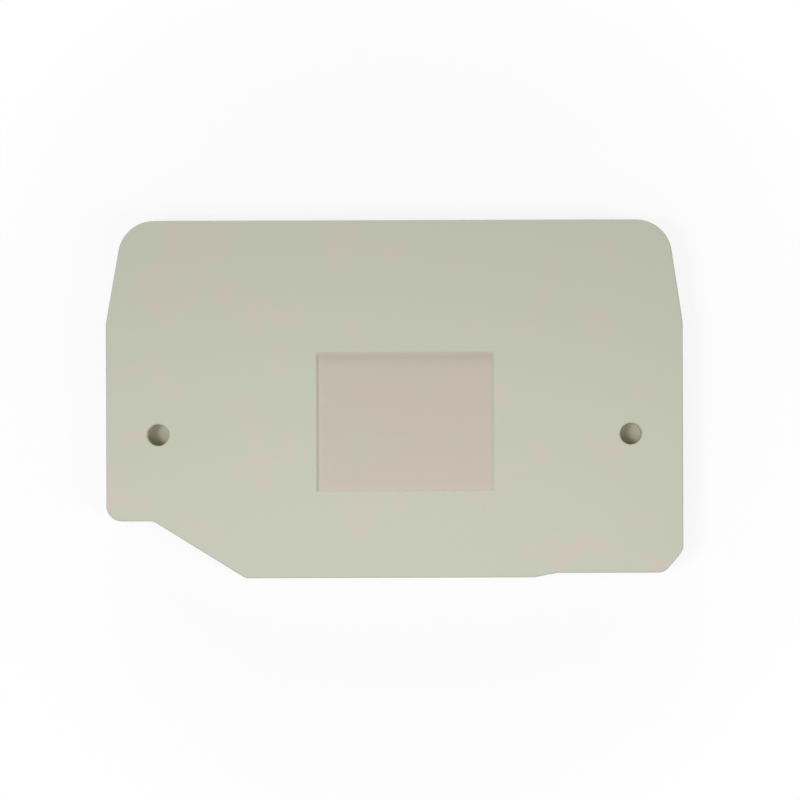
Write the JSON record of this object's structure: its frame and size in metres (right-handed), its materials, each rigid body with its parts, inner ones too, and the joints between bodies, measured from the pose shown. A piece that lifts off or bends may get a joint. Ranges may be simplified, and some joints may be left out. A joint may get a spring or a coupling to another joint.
{
  "type": "terminal block partition plate",
  "caption": "Flat moulded plate with tapered shoulders, a sloped and stepped rail side, blind peg sockets, pegs behind and a sunken label field; it separates rail-mounted terminals.",
  "frame": {"origin": "under the middle of the plate's box, at the height of the peg tips, with the plate level and face up", "axes": "+X along the plate's length, +Y from its rail side to its top edge, +Z out of its front face"},
  "size_m": [0.067, 0.0416, 0.0042],
  "materials": {
    "plastic": "fine matte moulded surface"
  },
  "bodies": {
    "root": {"partition_plate": "plastic"}
  },
  "joints": []
}
